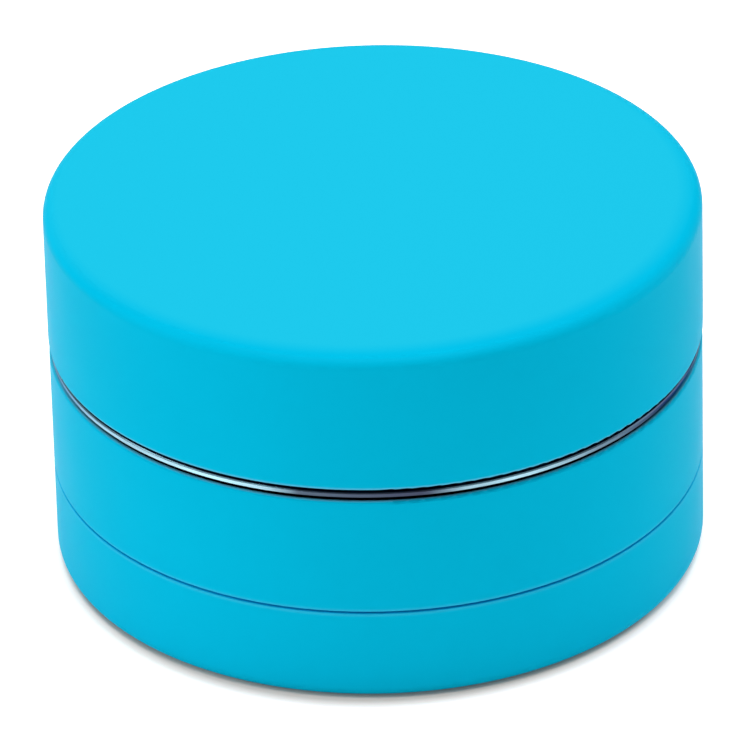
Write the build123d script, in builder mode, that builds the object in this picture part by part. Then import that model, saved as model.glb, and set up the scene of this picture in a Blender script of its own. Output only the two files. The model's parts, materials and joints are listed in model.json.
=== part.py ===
from build123d import *

import os

# A twist pill crusher: a screw-on powder base, a toothed crushing chamber and a
# magnetic lid. Millimetres, +Z up, origin at the centre of the underside. Every
# turned outline below is a closed list of (radius, height) points.

# ---- Outside -----------------------------------------------------------------
OUTER_R = 31.5  # blue skins of the base and the chamber
LID_R = 31.55  # blue skin of the lid
CORE_R = 30.2  # metal under the skins
HEIGHT = 36.8
SKIN = 1.3  # skin thickness over the top and under the base
SEAM_Z = 9.5  # parting line between base and chamber
SEAM_GAP = 0.2
SLEEVE_TOP_Z = 21.65
SLEEVE_LIP_R = 31.1  # the sleeve is bevelled inside its lip, under the flange
LID_EDGE_Z = 22.9
TOP_ROUND = 1.0
BOTTOM_ROUND = 1.2
EDGE_ROUND = 0.3  # moulded edges of the skins
SEAM_ROUND = 0.15  # the two edges that meet at the parting line

# ---- Base cup and its screw rim ------------------------------------------------
STORE_R = 25.2  # powder store
STORE_FLOOR_Z = SKIN + 1.6
STORE_ROUND = 3.0
SHOULDER_Z = SEAM_Z - 0.3
NECK_R = 27.65  # O-ring neck under the thread
NECK_TOP_Z = 10.8
RIM_TOP_Z = 17.0
RIM_CHAMFER = 0.4

# ---- Screw thread, right hand --------------------------------------------------
PITCH = 2.0
MALE_ROOT_R = 28.0
FEMALE_ROOT_R = 28.75
RIDGE_DEPTH = 0.55
RIDGE_ROOT = 0.65  # half width of a ridge at its root
RIDGE_CREST = 0.25  # half width of a ridge at its crest
RIDGE_SINK = 0.3  # how far a ridge is rooted in its wall
MALE_START_Z = 11.6
MALE_TURNS = 2.0
FEMALE_START_Z = MALE_START_Z + PITCH / 2
FEMALE_TURNS = 1.75

# ---- Thread seal, an O-ring around the neck ------------------------------------
SEAL_SECTION_R = 0.6
SEAL_RING_R = NECK_R + 0.1 + SEAL_SECTION_R
SEAL_BORE_R = SEAL_RING_R + SEAL_SECTION_R + 0.1
SEAL_BORE_TOP_Z = SHOULDER_Z + 2 * SEAL_SECTION_R + 0.15

# ---- Crushing chamber ----------------------------------------------------------
SKIRT_Z = SEAM_Z + SEAM_GAP / 2
FLOOR_UNDER_Z = RIM_TOP_Z + 0.4
FLOOR_Z = FLOOR_UNDER_Z + 2.2
FLANGE_R = 31.35  # bright ring that shows under the lid
FLANGE_UNDER_Z = 22.1
FLANGE_TOP_Z = 22.53
FLANGE_BREAK = 0.1
WALL_IN_R = 25.4
WALL_OUT_R = 27.5
WALL_TOP_Z = 32.0
WALL_CHAMFER = 0.5

# ---- Hub, a post pressed into the chamber's floor, and the lid's boss over it ----
HUB_R = 4.6
HUB_TOP_Z = 26.0
HUB_SPIGOT_R = 2.5
HUB_BREAK = 0.3
BOSS_ROUND = 0.8

# ---- Lid seal, an O-ring in the chamber's wall ---------------------------------
LID_SEAL_Z = 28.0
LID_SEAL_SECTION_R = 0.55
LID_SEAL_RING_R = 27.15
LID_SEAL_GROOVE_R = LID_SEAL_RING_R - LID_SEAL_SECTION_R - 0.05
LID_SEAL_GROOVE_HALF = 0.65

# ---- Lid core ------------------------------------------------------------------
PLATE_TOP_Z = HEIGHT - SKIN
PLATE_UNDER_Z = 32.8
LID_SKIRT_Z = 23.1
LID_BORE_R = 27.8
BOSS_Z = HUB_TOP_Z + 0.5

# ---- Glide ring, held in a groove of the lid's skirt ---------------------------
GLIDE_IN_R = 28.3
GLIDE_OUT_R = 29.7
GLIDE_TOP_Z = 23.6
GLIDE_PLAY = 0.06

# ---- Magnets -------------------------------------------------------------------
MAGNET_R = 3.0
MAGNET_H = 3.0
MAGNET_CHAMFER = 0.25

# ---- Teeth: ring radius, number of teeth, angle of the first one ---------------
CHAMBER_RINGS = {"inner": (10.6, 6, 15), "middle": (17.0, 10, 9), "outer": (23.4, 14, 0)}
LID_RINGS = {"inner": (7.4, 4, 0), "middle": (13.8, 8, 10), "outer": (20.2, 12, 5)}
TOOTH_HALF_WIDTH = 1.1  # along the crusher's radius
TOOTH_HALF_LENGTH = 1.8  # around the crusher
TOOTH_TIP = 0.35
SHANK_R = 0.85
SHANK_LENGTH = 1.3
CHAMBER_TOOTH_TOP_Z = 29.2
LID_TOOTH_TIP_Z = 20.6

# ---- Drop holes: ring radius, number of holes, angle of the first one ----------
DROP_RINGS = ((7.4, 6, 0), (13.8, 10, 0), (20.2, 14, 0))
DROP_R = 1.6
DROP_CHAMFER = 0.3

EDGE_TOLERANCE = 0.01


def turned(*points):
    """Add the solid that a closed outline sweeps about the Z axis."""
    with BuildSketch(Plane.XZ) as profile:
        with BuildLine():
            Polyline(*points, close=True)
        make_face()
    revolve(profile.sketch, axis=Axis.Z)


def rim(part, radius, height):
    """The circular edges that a part has with a radius, lying at a height."""

    def matches(edge):
        same_radius = abs(edge.radius - radius) < EDGE_TOLERANCE
        return same_radius and abs(edge.arc_center.Z - height) < EDGE_TOLERANCE

    return part.edges().filter_by(GeomType.CIRCLE).filter_by(matches)


def o_ring(ring_radius, section_radius, height):
    """Add an O-ring about the Z axis."""
    with BuildSketch(Plane.XZ) as section:
        with Locations((ring_radius, height)):
            Circle(section_radius)
    revolve(section.sketch, axis=Axis.Z)


def thread_ridge(root_radius, outward, start_z, turns):
    """Add a trapezoid ridge along a helix; outward is 1 for a screw, -1 for a nut."""
    sunk_r = root_radius - outward * RIDGE_SINK
    crest_r = root_radius + outward * RIDGE_DEPTH
    with BuildLine() as helix:
        Helix(PITCH, PITCH * turns, root_radius, center=(0, 0, start_z))
    with BuildSketch(Plane.XZ) as section:
        with BuildLine():
            Polyline(
                (sunk_r, start_z - RIDGE_ROOT),
                (root_radius, start_z - RIDGE_ROOT),
                (crest_r, start_z - RIDGE_CREST),
                (crest_r, start_z + RIDGE_CREST),
                (root_radius, start_z + RIDGE_ROOT),
                (sunk_r, start_z + RIDGE_ROOT),
                close=True,
            )
        make_face()
    sweep(section.sketch, path=helix.edges()[0], is_frenet=True)


def magnet(bottom_z):
    """Add a disc magnet on the axis."""
    with Locations((0, 0, bottom_z + MAGNET_H / 2)):
        Cylinder(MAGNET_R, MAGNET_H)


def shank_sockets(rings, face_z, direction):
    """Cut the sockets that the tooth shanks are pressed into."""
    for ring_radius, count, first_angle in rings.values():
        with BuildSketch(Plane.XY.offset(face_z)) as sockets:
            with PolarLocations(ring_radius, count, first_angle):
                Circle(SHANK_R)
        extrude(sockets.sketch, amount=-direction * SHANK_LENGTH, mode=Mode.SUBTRACT)


def tooth_ring(ring, root_z, tip_z):
    """Add a ring of diamond teeth with bevelled tips and round shanks."""
    ring_radius, count, first_angle = ring
    direction = 1 if tip_z > root_z else -1
    half_width = TOOTH_HALF_WIDTH
    half_length = TOOTH_HALF_LENGTH
    with BuildSketch(Plane.XY.offset(root_z)) as diamonds:
        with PolarLocations(ring_radius, count, first_angle):
            Polygon((half_width, 0), (0, half_length), (-half_width, 0), (0, -half_length))
    blades = extrude(diamonds.sketch, amount=tip_z - root_z)
    tips = blades.faces().group_by(Axis.Z)[-1 if direction > 0 else 0]
    chamfer(tips.edges(), TOOTH_TIP)
    with BuildSketch(Plane.XY.offset(root_z)) as shanks:
        with PolarLocations(ring_radius, count, first_angle):
            Circle(SHANK_R)
    extrude(shanks.sketch, amount=-direction * SHANK_LENGTH)


# ---- Base body -----------------------------------------------------------------
with BuildPart() as base_sleeve:
    sleeve_top_z = SEAM_Z - SEAM_GAP / 2
    turned(
        (0, 0),
        (OUTER_R, 0),
        (OUTER_R, sleeve_top_z),
        (CORE_R, sleeve_top_z),
        (CORE_R, SKIN),
        (0, SKIN),
    )
    fillet(rim(base_sleeve, OUTER_R, 0), BOTTOM_ROUND)
    fillet(rim(base_sleeve, OUTER_R, sleeve_top_z), SEAM_ROUND)

with BuildPart() as base_cup:
    turned(
        (0, SKIN),
        (CORE_R, SKIN),
        (CORE_R, SHOULDER_Z),
        (NECK_R, SHOULDER_Z),
        (NECK_R, NECK_TOP_Z),
        (MALE_ROOT_R, NECK_TOP_Z),
        (MALE_ROOT_R, RIM_TOP_Z),
        (STORE_R, RIM_TOP_Z),
        (STORE_R, STORE_FLOOR_Z),
        (0, STORE_FLOOR_Z),
    )
    fillet(rim(base_cup, STORE_R, STORE_FLOOR_Z), STORE_ROUND)
    chamfer(rim(base_cup, MALE_ROOT_R, RIM_TOP_Z), RIM_CHAMFER)
    chamfer(rim(base_cup, STORE_R, RIM_TOP_Z), RIM_CHAMFER)
    thread_ridge(MALE_ROOT_R, 1, MALE_START_Z, MALE_TURNS)

# ---- Seal body -----------------------------------------------------------------
with BuildPart() as thread_seal:
    o_ring(SEAL_RING_R, SEAL_SECTION_R, SHOULDER_Z + SEAL_SECTION_R)

# ---- Chamber body --------------------------------------------------------------
with BuildPart() as chamber_sleeve:
    turned(
        (CORE_R, SKIRT_Z),
        (OUTER_R, SKIRT_Z),
        (OUTER_R, SLEEVE_TOP_Z),
        (SLEEVE_LIP_R, SLEEVE_TOP_Z),
        (CORE_R, SLEEVE_TOP_Z - (SLEEVE_LIP_R - CORE_R)),
    )
    fillet(rim(chamber_sleeve, OUTER_R, SKIRT_Z), SEAM_ROUND)
    fillet(rim(chamber_sleeve, OUTER_R, SLEEVE_TOP_Z), EDGE_ROUND)

with BuildPart() as chamber_body:
    turned(
        (SEAL_BORE_R, SKIRT_Z),
        (CORE_R, SKIRT_Z),
        (CORE_R, FLANGE_UNDER_Z),
        (FLANGE_R, FLANGE_UNDER_Z),
        (FLANGE_R, FLANGE_TOP_Z),
        (WALL_OUT_R, FLANGE_TOP_Z),
        (WALL_OUT_R, LID_SEAL_Z - LID_SEAL_GROOVE_HALF),
        (LID_SEAL_GROOVE_R, LID_SEAL_Z - LID_SEAL_GROOVE_HALF),
        (LID_SEAL_GROOVE_R, LID_SEAL_Z + LID_SEAL_GROOVE_HALF),
        (WALL_OUT_R, LID_SEAL_Z + LID_SEAL_GROOVE_HALF),
        (WALL_OUT_R, WALL_TOP_Z),
        (WALL_IN_R, WALL_TOP_Z),
        (WALL_IN_R, FLOOR_Z),
        (HUB_SPIGOT_R, FLOOR_Z),
        (HUB_SPIGOT_R, FLOOR_UNDER_Z),
        (FEMALE_ROOT_R, FLOOR_UNDER_Z),
        (FEMALE_ROOT_R, SEAL_BORE_TOP_Z),
        (SEAL_BORE_R, SEAL_BORE_TOP_Z),
    )
    chamfer(rim(chamber_body, FLANGE_R, FLANGE_TOP_Z), FLANGE_BREAK)
    chamfer(rim(chamber_body, WALL_OUT_R, WALL_TOP_Z), WALL_CHAMFER)
    chamfer(rim(chamber_body, WALL_IN_R, WALL_TOP_Z), WALL_CHAMFER)
    shank_sockets(CHAMBER_RINGS, FLOOR_Z, 1)
    for drop_ring_r, drop_count, drop_angle in DROP_RINGS:
        with BuildSketch(Plane.XY.offset(FLOOR_Z)) as drop_holes:
            with PolarLocations(drop_ring_r, drop_count, drop_angle):
                Circle(DROP_R)
        extrude(drop_holes.sketch, amount=FLOOR_UNDER_Z - FLOOR_Z, mode=Mode.SUBTRACT)
    chamfer(rim(chamber_body, DROP_R, FLOOR_Z), DROP_CHAMFER)
    thread_ridge(FEMALE_ROOT_R, -1, FEMALE_START_Z, FEMALE_TURNS)

with BuildPart() as chamber_hub:
    turned(
        (0, FLOOR_UNDER_Z),
        (HUB_SPIGOT_R, FLOOR_UNDER_Z),
        (HUB_SPIGOT_R, FLOOR_Z),
        (HUB_R, FLOOR_Z),
        (HUB_R, HUB_TOP_Z),
        (MAGNET_R, HUB_TOP_Z),
        (MAGNET_R, HUB_TOP_Z - MAGNET_H),
        (0, HUB_TOP_Z - MAGNET_H),
    )
    chamfer(rim(chamber_hub, HUB_R, HUB_TOP_Z), HUB_BREAK)

with BuildPart() as chamber_magnet:
    magnet(HUB_TOP_Z - MAGNET_H)
    chamfer(rim(chamber_magnet, MAGNET_R, HUB_TOP_Z), MAGNET_CHAMFER)

with BuildPart() as lid_seal:
    o_ring(LID_SEAL_RING_R, LID_SEAL_SECTION_R, LID_SEAL_Z)

# ---- Glide body ----------------------------------------------------------------
with BuildPart() as glide_ring:
    turned(
        (GLIDE_IN_R, FLANGE_TOP_Z),
        (GLIDE_OUT_R, FLANGE_TOP_Z),
        (GLIDE_OUT_R, GLIDE_TOP_Z),
        (GLIDE_IN_R, GLIDE_TOP_Z),
    )

# ---- Lid body ------------------------------------------------------------------
with BuildPart() as lid_cover:
    turned(
        (0, PLATE_TOP_Z),
        (CORE_R, PLATE_TOP_Z),
        (CORE_R, LID_EDGE_Z),
        (LID_R, LID_EDGE_Z),
        (LID_R, HEIGHT),
        (0, HEIGHT),
    )
    fillet(rim(lid_cover, LID_R, HEIGHT), TOP_ROUND)
    fillet(rim(lid_cover, LID_R, LID_EDGE_Z), EDGE_ROUND)

with BuildPart() as lid_core:
    turned(
        (0, PLATE_TOP_Z),
        (CORE_R, PLATE_TOP_Z),
        (CORE_R, LID_SKIRT_Z),
        (GLIDE_OUT_R + GLIDE_PLAY, LID_SKIRT_Z),
        (GLIDE_OUT_R + GLIDE_PLAY, GLIDE_TOP_Z),
        (GLIDE_IN_R - GLIDE_PLAY, GLIDE_TOP_Z),
        (GLIDE_IN_R - GLIDE_PLAY, LID_SKIRT_Z),
        (LID_BORE_R, LID_SKIRT_Z),
        (LID_BORE_R, PLATE_UNDER_Z),
        (HUB_R, PLATE_UNDER_Z),
        (HUB_R, BOSS_Z),
        (MAGNET_R, BOSS_Z),
        (MAGNET_R, BOSS_Z + MAGNET_H),
        (0, BOSS_Z + MAGNET_H),
    )
    fillet(rim(lid_core, HUB_R, PLATE_UNDER_Z), BOSS_ROUND)
    shank_sockets(LID_RINGS, PLATE_UNDER_Z, -1)

with BuildPart() as lid_magnet:
    magnet(BOSS_Z)
    chamfer(rim(lid_magnet, MAGNET_R, BOSS_Z), MAGNET_CHAMFER)

# ---- Write one file for each piece ---------------------------------------------
pieces = {
    "base_sleeve": base_sleeve.part,
    "base_cup": base_cup.part,
    "thread_seal": thread_seal.part,
    "chamber_sleeve": chamber_sleeve.part,
    "chamber_body": chamber_body.part,
    "chamber_hub": chamber_hub.part,
    "chamber_magnet": chamber_magnet.part,
    "lid_seal": lid_seal.part,
    "glide_ring": glide_ring.part,
    "lid_cover": lid_cover.part,
    "lid_core": lid_core.part,
    "lid_magnet": lid_magnet.part,
}

for ring_name, ring in CHAMBER_RINGS.items():
    with BuildPart() as chamber_teeth:
        tooth_ring(ring, FLOOR_Z, CHAMBER_TOOTH_TOP_Z)
    pieces["chamber_teeth_" + ring_name] = chamber_teeth.part

for ring_name, ring in LID_RINGS.items():
    with BuildPart() as lid_teeth:
        tooth_ring(ring, PLATE_UNDER_Z, LID_TOOTH_TIP_Z)
    pieces["lid_teeth_" + ring_name] = lid_teeth.part

os.makedirs("parts", exist_ok=True)
for piece_name, piece in pieces.items():
    piece.label = piece_name
    export_step(piece, "parts/" + piece_name + ".step")
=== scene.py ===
import json
import math

import bpy
from mathutils import Matrix, Vector


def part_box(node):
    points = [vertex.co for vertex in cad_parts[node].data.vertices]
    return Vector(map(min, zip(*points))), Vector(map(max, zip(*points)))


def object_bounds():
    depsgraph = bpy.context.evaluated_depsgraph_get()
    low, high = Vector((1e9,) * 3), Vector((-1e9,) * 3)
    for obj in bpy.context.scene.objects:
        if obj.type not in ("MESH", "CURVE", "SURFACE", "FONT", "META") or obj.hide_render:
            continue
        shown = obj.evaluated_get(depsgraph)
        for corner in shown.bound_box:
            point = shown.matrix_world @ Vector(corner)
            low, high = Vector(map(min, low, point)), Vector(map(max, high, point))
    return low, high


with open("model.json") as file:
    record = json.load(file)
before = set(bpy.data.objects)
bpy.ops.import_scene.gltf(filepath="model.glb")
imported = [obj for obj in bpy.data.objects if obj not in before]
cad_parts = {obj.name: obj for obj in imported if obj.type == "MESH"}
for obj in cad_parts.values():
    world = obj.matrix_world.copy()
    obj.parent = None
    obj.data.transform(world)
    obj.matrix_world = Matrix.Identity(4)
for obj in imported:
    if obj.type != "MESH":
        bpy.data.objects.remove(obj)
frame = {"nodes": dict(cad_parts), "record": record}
cad_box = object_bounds()

# ---- Sizes from the frame, in metres -------------------------------------------------
MM = 0.001
HEIGHT = cad_box[1].z
OUTER_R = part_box("chamber_sleeve")[1].x
LID_EDGE_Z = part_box("lid_cover")[0].z
SLEEVE_TOP_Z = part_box("chamber_sleeve")[1].z
SEAM_Z = (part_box("base_sleeve")[1].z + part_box("chamber_sleeve")[0].z) / 2

# The flange is what shows of chamber_body, in the gap under the lid: the rim round it
# and, past the glide ring, the face that is painted dark as shade under the lid.
FLANGE_RIM_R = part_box("chamber_body")[1].x - 0.11 * MM
FLANGE_FOOT_Z = SLEEVE_TOP_Z - 1.5 * MM
RUNNING_FACE_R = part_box("glide_ring")[1].x + 0.1 * MM

# ---- Camera: a long lens, with its sensor and focal length in millimetres ------------
SENSOR = 36.0
FOCAL = 417.5
ELEVATION = math.radians(30.2)
ROLL = math.radians(1.45)
DISTANCE = 26.7 * OUTER_R
AIM = Vector((-0.17, 0.0, 17.07)) * MM

# ---- Stage and light -----------------------------------------------------------------
FLOOR_HALF = 3.0
FLOOR_Z = -0.02 * MM
FLOOR_CLEAR_R = OUTER_R - 2.0 * MM
FLOOR_ROUGHNESS = 0.9
FLOOR_GLOW = (1.0, 0.98, 0.97)

# The contact shadow is painted on the floor as two ramps outwards from a centre: one
# of the floor's colour and one of how strongly it glows.
SHADOW_CENTRE = Vector((-0.3, -1.8, 0.0)) * MM
SHADOW_TONE_RADII = OUTER_R - 1.5 * MM, OUTER_R + 0.1 * MM
SHADOW_TONES = (0.72, 0.61, 0.55), (1.0, 0.89, 0.85)
SHADOW_GLOW_RADII = OUTER_R - 1.5 * MM, OUTER_R + 0.3 * MM
SHADOW_GLOWS = 0.05, 0.45

SURROUND_STRENGTH = 0.3
# Each soft box's name, place, side in metres and power in watts.
SOFT_BOXES = (
    ("overhead", (-0.05, 0.0, 0.9), 0.7, 7.4),
    ("left", (-0.9, -0.15, 0.35), 0.5, 2.6),
    ("right", (0.8, 0.35, 0.35), 0.5, 2.1),
    ("underneath", (0.0, 0.0, -0.6), 0.5, 2.0),
)

# ---- Finishes ------------------------------------------------------------------------
# Colours are linear. Where there are two of something, a noise goes from one to the
# other over the surface.
SKIN_BLUES = (0.0, 0.422, 0.647), (0.0, 0.438, 0.668)
SKIN_ROUGHNESS = 0.34, 0.42
SKIN_SPECULAR = 0.005

# Painted sheen on the lid's top: a paler blue that comes in over its top edge, and ends
# at the rim nearest to the front, so that the rounded edge there reads darker.
TOP_SHEEN_BLUE = (0.009, 0.46, 0.66)
TOP_SHEEN_CENTRE = Vector((-0.5, 1.4, 0.0)) * MM
TOP_SHEEN_HEIGHTS = HEIGHT - 1.0 * MM, HEIGHT - 0.1 * MM
TOP_SHEEN_RADII = OUTER_R - 1.8 * MM, OUTER_R

# Bands along the skins' edges, painted highlights and a painted shade tint: how far from
# the edge each is still whole, and how far from it each ends.
# Painted highlights along the lid's lower lip and the sleeve's top lip.
LIP_HIGHLIGHT_BLUE = (0.08, 0.43, 0.64)
LID_LIP_HIGHLIGHT = 0.1 * MM, 0.4 * MM
SLEEVE_LIP_HIGHLIGHT = 0.0, 0.1 * MM
# Painted highlights on the lips either side of the seam.
SEAM_HIGHLIGHT_BLUE = (0.03, 0.44, 0.68)
SEAM_HIGHLIGHT = 0.25 * MM, 0.5 * MM
SEAM_HIGHLIGHT_STRENGTH = 0.6
# Painted shade tint: a deeper blue in the gap at the seam.
SEAM_SHADE_BLUE = (0.0, 0.45, 0.78)
SEAM_SHADE = 0.1 * MM, 0.18 * MM

# Marks of the lathe and of the polishing: waves in a metre and waves in a radian.
LATHE_LINES = 9000.0
LATHE_DRIFT = 0.6
STREAK_LINES = 2500.0
STREAK_DRIFT = 9.0

ALUMINIUM_TONES = (0.42, 0.43, 0.45), (0.58, 0.59, 0.61)
ALUMINIUM_ROUGHNESS = 0.18, 0.3
# Painted reflection tones of the flange's rim, from dark navy to pale blue.
FLANGE_REFLECTION_TONES = (0.04, 0.05, 0.09), (0.38, 0.68, 0.82)
FLANGE_STREAKS = 0.75, 1.2
# Painted shade on the running face past the glide ring.
FLANGE_PAINTED_SHADE = (0.012, 0.024, 0.05)
FLANGE_TINT = (0.3, 0.4, 0.6)
STEEL = (0.6, 0.6, 0.61)
NICKEL = (0.78, 0.76, 0.72)
RUBBER_BLACK = (0.02, 0.02, 0.022)
ACETAL_WHITE = (0.82, 0.82, 0.79)

# Painted reflection on the flange's rim: how bright it is, as degrees round the axis,
# from the left side through the front, and brightness.
FLANGE_PAINTED_REFLECTION = (
    (0, 0.4),
    (20, 0.62),
    (35, 0.75),
    (46, 0.75),
    (60, 1.0),
    (69, 0.85),
    (76, 0.08),
    (98, 0.0),
    (105, 0.55),
    (117, 0.75),
    (130, 0.3),
    (140, 0.1),
    (150, 0.0),
    (200, 0.1),
    (270, 0.6),
    (340, 0.3),
)


# ---- Material helpers ----------------------------------------------------------------
class Graph:
    """A material's node tree, with short calls for the nodes used here."""

    def __init__(self, name):
        self.material = bpy.data.materials.new(name)
        self.material.use_nodes = True
        self.tree = self.material.node_tree
        self.shader = self.tree.nodes["Principled BSDF"]

    def link(self, source, target):
        self.tree.links.new(source, target)

    def feed(self, target, value):
        """Give a socket a number, a colour or another socket's value."""
        if isinstance(value, bpy.types.NodeSocket):
            self.link(value, target)
        elif isinstance(value, tuple):
            target.default_value = (*value, 1.0)
        else:
            target.default_value = value

    def set(self, **values):
        """Set the shader's inputs, named with _ for each space."""
        for name, value in values.items():
            self.feed(self.shader.inputs[name.replace("_", " ")], value)

    def node(self, kind, **settings):
        made = self.tree.nodes.new(kind)
        for key, value in settings.items():
            setattr(made, key, value)
        return made

    def math(self, operation, *values):
        made = self.node("ShaderNodeMath", operation=operation)
        for socket, value in zip(made.inputs, values):
            self.feed(socket, value)
        return made.outputs[0]

    def place(self):
        """The point on the piece, in metres in the row's frame."""
        return self.node("ShaderNodeTexCoord").outputs["Object"]

    def polar(self, centre=(0.0, 0.0, 0.0)):
        """Radius about an upright axis through a centre, angle about it and height."""
        moved = self.node("ShaderNodeVectorMath", operation="SUBTRACT")
        moved.inputs[1].default_value = centre
        self.link(self.place(), moved.inputs[0])
        parts = self.node("ShaderNodeSeparateXYZ")
        self.link(moved.outputs[0], parts.inputs[0])
        x, y, z = parts.outputs
        squares = [self.math("MULTIPLY", side, side) for side in (x, y)]
        radius = self.math("SQRT", self.math("ADD", *squares))
        return radius, self.math("ARCTAN2", y, x), z

    def stretched(self, *scaled):
        """A vector of up to three values, each given with the scale to multiply it by."""
        made = self.node("ShaderNodeCombineXYZ")
        for socket, (value, scale) in zip(made.inputs, scaled):
            self.link(self.math("MULTIPLY", value, scale), socket)
        return made.outputs[0]

    def noise(self, vector, scale, detail=2.0, roughness=0.5):
        made = self.node("ShaderNodeTexNoise")
        made.inputs["Scale"].default_value = scale
        made.inputs["Detail"].default_value = detail
        made.inputs["Roughness"].default_value = roughness
        self.link(vector, made.inputs["Vector"])
        return made.outputs["Fac"]

    def span(self, value, start, stop, low, high):
        """Map a value from between start and stop to between low and high, and no further."""
        made = self.node("ShaderNodeMapRange")
        limits = {"From Min": start, "From Max": stop, "To Min": low, "To Max": high}
        for name, number in limits.items():
            made.inputs[name].default_value = number
        self.link(value, made.inputs["Value"])
        return made.outputs["Result"]

    def contrast(self, noise, low, high):
        """Stretch the middle of a noise, where nearly all of it is, to between low and high."""
        return self.span(noise, 0.3, 0.7, low, high)

    def band(self, height, middle, full, none, strength=1.0):
        """A strength that holds within full of a height and is gone at none from it."""
        away = self.math("ABSOLUTE", self.math("SUBTRACT", height, middle))
        return self.span(away, full, none, strength, 0.0)

    def blend(self, fac, under, over):
        """A colour that goes from one to another, each a colour or a socket."""
        made = self.node("ShaderNodeMix", data_type="RGBA")
        self.feed(made.inputs["A"], under)
        self.feed(made.inputs["B"], over)
        self.link(fac, made.inputs["Factor"])
        return made.outputs["Result"]

    def bump(self, height, distance, strength):
        made = self.node("ShaderNodeBump")
        made.inputs["Distance"].default_value = distance
        made.inputs["Strength"].default_value = strength
        self.link(height, made.inputs["Height"])
        return made.outputs["Normal"]


# ---- Camera, stage and light ---------------------------------------------------------
def add_camera():
    """A long lens at the catalogue picture's angle, rolled a little clockwise."""
    data = bpy.data.cameras.new("camera")
    data.sensor_width = SENSOR
    data.lens = FOCAL
    data.clip_start = DISTANCE * 0.1
    data.clip_end = DISTANCE * 20
    camera = bpy.data.objects.new("camera", data)
    bpy.context.scene.collection.objects.link(camera)
    back = Vector((0.0, -math.cos(ELEVATION), math.sin(ELEVATION)))
    level_right = Vector((1.0, 0.0, 0.0))
    level_up = Vector((0.0, math.sin(ELEVATION), math.cos(ELEVATION)))
    right = level_right * math.cos(ROLL) - level_up * math.sin(ROLL)
    up = level_right * math.sin(ROLL) + level_up * math.cos(ROLL)
    turn = Matrix((right, up, back)).transposed().to_4x4()
    camera.matrix_world = Matrix.Translation(AIM + back * DISTANCE) @ turn
    bpy.context.scene.camera = camera


def floor_white():
    """White and glowing, with a painted contact shadow in its colour and glow, and clear from
    below and under the part.
    """
    g = Graph("floor_white")
    # Painted contact shadow: the floor's colour and glow ramp down towards the part.
    shade = g.polar(SHADOW_CENTRE)[0]
    painted_tone = g.span(shade, *SHADOW_TONE_RADII, 0.0, 1.0)
    glow = g.span(shade, *SHADOW_GLOW_RADII, *SHADOW_GLOWS)
    g.set(Base_Color=g.blend(painted_tone, *SHADOW_TONES))
    g.set(Roughness=FLOOR_ROUGHNESS, Specular_IOR_Level=0.0)
    g.set(Emission_Strength=glow, Emission_Color=FLOOR_GLOW)
    below = g.node("ShaderNodeNewGeometry").outputs["Backfacing"]
    covered = g.math("LESS_THAN", g.polar()[0], FLOOR_CLEAR_R)
    sided = g.node("ShaderNodeMixShader")
    g.link(g.math("MAXIMUM", below, covered), sided.inputs["Fac"])
    g.link(g.shader.outputs["BSDF"], sided.inputs[1])
    g.link(g.node("ShaderNodeBsdfTransparent").outputs["BSDF"], sided.inputs[2])
    g.link(sided.outputs["Shader"], g.tree.nodes["Material Output"].inputs["Surface"])
    return g.material


def add_floor():
    """A plain square floor, so bright that only the contact shadow, painted into its colour and
    glow, shows on it.
    """
    mesh = bpy.data.meshes.new("floor")
    signs = ((-1, -1), (1, -1), (1, 1), (-1, 1))
    corners = [(x * FLOOR_HALF, y * FLOOR_HALF, FLOOR_Z) for x, y in signs]
    mesh.from_pydata(corners, [], [(0, 1, 2, 3)])
    floor = bpy.data.objects.new("floor", mesh)
    bpy.context.scene.collection.objects.link(floor)
    mesh.materials.append(floor_white())


def add_soft_box(name, place, side, power):
    """A square soft box at a place, which faces the middle of the part."""
    data = bpy.data.lights.new(name, "AREA")
    data.shape = "SQUARE"
    data.size = side
    data.energy = power
    light = bpy.data.objects.new(name, data)
    bpy.context.scene.collection.objects.link(light)
    light.location = place
    light.rotation_mode = "QUATERNION"
    towards = Vector((0.0, 0.0, HEIGHT / 2)) - light.location
    light.rotation_quaternion = towards.to_track_quat("-Z", "Y")


def add_lights():
    """Soft studio light: a white surround and the soft boxes."""
    world = bpy.data.worlds.new("studio")
    bpy.context.scene.world = world
    world.use_nodes = True
    background = world.node_tree.nodes["Background"]
    background.inputs["Color"].default_value = (1.0, 1.0, 1.0, 1.0)
    background.inputs["Strength"].default_value = SURROUND_STRENGTH
    for soft_box in SOFT_BOXES:
        add_soft_box(*soft_box)


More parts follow.
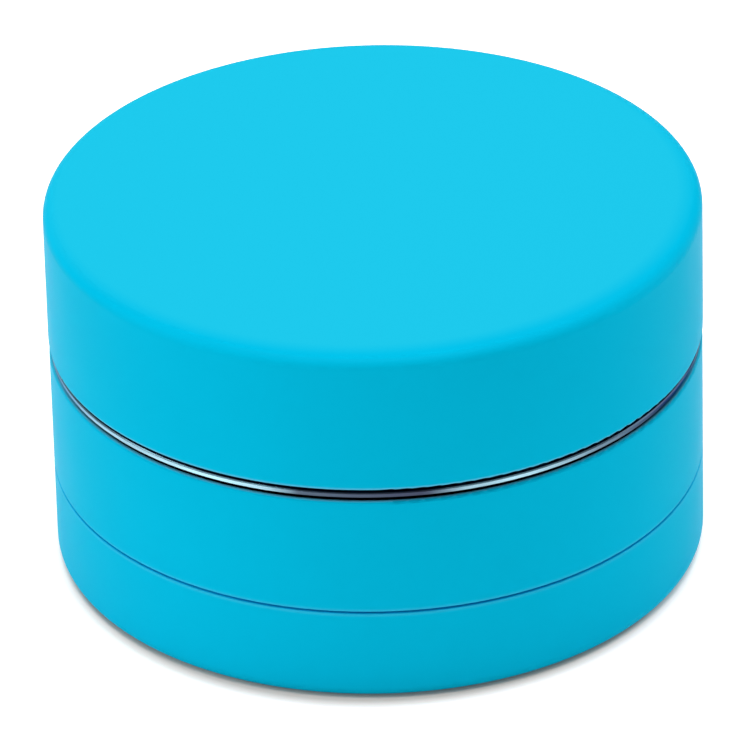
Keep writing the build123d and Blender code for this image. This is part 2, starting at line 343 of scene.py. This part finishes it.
# ---- Materials -----------------------------------------------------------------------
def silicone():
    """Matt blue silicone, with a painted sheen on the lid's top, painted highlights along its
    moulded lips and a painted shade tint in its seam.
    """
    g = Graph("blue_silicone")
    place = g.place()
    height = g.polar()[2]
    clouds = g.noise(place, scale=45.0, detail=3.0)
    blue = g.blend(g.contrast(clouds, 0.0, 1.0), *SKIN_BLUES)

    # Painted sheen: the lid's top is paler, and fades out inside its front rim as painted
    # shading of the rounded edge.
    on_top = g.span(height, *TOP_SHEEN_HEIGHTS, 0.0, 1.0)
    inside_rim = g.span(g.polar(TOP_SHEEN_CENTRE)[0], *TOP_SHEEN_RADII, 1.0, 0.0)
    blue = g.blend(g.math("MULTIPLY", on_top, inside_rim), blue, TOP_SHEEN_BLUE)
    # Painted highlight on the seam's lips.
    blue = g.blend(g.band(height, SEAM_Z, *SEAM_HIGHLIGHT, SEAM_HIGHLIGHT_STRENGTH), blue, SEAM_HIGHLIGHT_BLUE)
    # Painted shade tint in the seam gap.
    blue = g.blend(g.band(height, SEAM_Z, *SEAM_SHADE), blue, SEAM_SHADE_BLUE)
    # Painted highlights along the lid's and the sleeve's lips.
    lid_lip_highlight = g.band(height, LID_EDGE_Z, *LID_LIP_HIGHLIGHT)
    sleeve_lip_highlight = g.band(height, SLEEVE_TOP_Z, *SLEEVE_LIP_HIGHLIGHT)
    blue = g.blend(g.math("MAXIMUM", lid_lip_highlight, sleeve_lip_highlight), blue, LIP_HIGHLIGHT_BLUE)

    smudges = g.noise(place, scale=120.0, detail=4.0)
    grain = g.noise(place, scale=4500.0, detail=3.0, roughness=0.6)
    g.set(Base_Color=blue, Specular_IOR_Level=SKIN_SPECULAR)
    g.set(Roughness=g.contrast(smudges, *SKIN_ROUGHNESS))
    g.set(Normal=g.bump(grain, distance=0.01 * MM, strength=0.6))
    return g.material


def turned_metal(name):
    """Aluminium off a lathe: fine rings that follow radius and height."""
    g = Graph(name)
    radius, angle, height = g.polar()
    turning = g.stretched((radius, LATHE_LINES), (height, LATHE_LINES), (angle, LATHE_DRIFT))
    lines = g.noise(turning, scale=1.0, detail=3.0, roughness=0.6)
    patches = g.noise(g.place(), scale=140.0, detail=3.0)
    g.set(Base_Color=g.blend(g.contrast(lines, 0.0, 1.0), *ALUMINIUM_TONES), Metallic=1.0)
    g.set(Roughness=g.contrast(patches, *ALUMINIUM_ROUGHNESS))
    g.set(Normal=g.bump(lines, distance=0.004 * MM, strength=0.8))
    return g


def flanged_metal(name):
    """Turned metal whose flange has a painted reflection, with buffing streaks, on its rim and
    painted shade on its running face.
    """
    g = turned_metal(name)
    radius, angle, height = g.polar()

    # Painted reflection: the rim's brightness is set by angle round the axis.
    reflection_ramp = g.node("ShaderNodeValToRGB")
    stops = reflection_ramp.color_ramp.elements
    for degrees, brightness in FLANGE_PAINTED_REFLECTION:
        stop = stops.new(degrees / 360) if degrees else stops[0]
        stop.color = (brightness, brightness, brightness, 1.0)
    stops[-1].color = stops[0].color
    g.link(g.span(angle, -math.pi, math.pi, 0.0, 1.0), reflection_ramp.inputs["Fac"])
    buffing = g.stretched((angle, STREAK_DRIFT), (height, STREAK_LINES))
    streaks = g.contrast(g.noise(buffing, scale=1.0, detail=3.0), *FLANGE_STREAKS)
    painted_tone = g.math("MULTIPLY", reflection_ramp.outputs["Color"], streaks)

    # Painted shade: the face past the glide ring is near black, where the lid's shadow falls.
    on_rim = g.math("GREATER_THAN", radius, FLANGE_RIM_R)
    flange = g.blend(on_rim, FLANGE_PAINTED_SHADE, g.blend(painted_tone, *FLANGE_REFLECTION_TONES))
    past_glide = g.math("GREATER_THAN", radius, RUNNING_FACE_R)
    above_foot = g.math("GREATER_THAN", height, FLANGE_FOOT_Z)
    exposed = g.math("MULTIPLY", past_glide, above_foot)
    turned = g.shader.inputs["Base Color"].links[0].from_socket
    g.set(Base_Color=g.blend(exposed, turned, flange), Specular_Tint=FLANGE_TINT)
    return g


def plain_metal(name, colour, rough):
    """Ground or plated metal, with fine scratches in its gloss."""
    g = Graph(name)
    scratches = g.noise(g.place(), scale=1500.0, detail=4.0, roughness=0.7)
    g.set(Base_Color=colour, Metallic=1.0)
    g.set(Roughness=g.contrast(scratches, rough * 0.8, rough * 1.3))
    g.set(Normal=g.bump(scratches, distance=0.004 * MM, strength=0.4))
    return g.material


def polymer(name, colour, rough):
    """Moulded rubber or plastic, with a fine grain."""
    g = Graph(name)
    grain = g.noise(g.place(), scale=2500.0, detail=3.0)
    g.set(Base_Color=colour, Roughness=g.contrast(grain, rough * 0.9, rough * 1.15))
    g.set(Normal=g.bump(grain, distance=0.008 * MM, strength=0.5))
    return g.material


def finish_nodes():
    """Give each node its slot's material, and the flanged chamber one of its own."""
    made = {
        "blue_silicone": silicone(),
        "turned_aluminium": turned_metal("turned_aluminium").material,
        "tooth_steel": plain_metal("tooth_steel", STEEL, 0.3),
        "magnet_nickel": plain_metal("magnet_nickel", NICKEL, 0.12),
        "seal_rubber": polymer("seal_rubber", RUBBER_BLACK, 0.6),
        "glide_acetal": polymer("glide_acetal", ACETAL_WHITE, 0.4),
    }
    pieces = frame["nodes"]
    for subpart in frame["record"]["subparts"]:
        materials = pieces[subpart["node"]].data.materials
        materials.clear()
        materials.append(made[subpart["material_slot"]])
    pieces["chamber_body"].data.materials[0] = flanged_metal("flanged_aluminium").material


add_camera()
add_floor()
add_lights()
finish_nodes()
bpy.context.scene.view_settings.view_transform = "Standard"
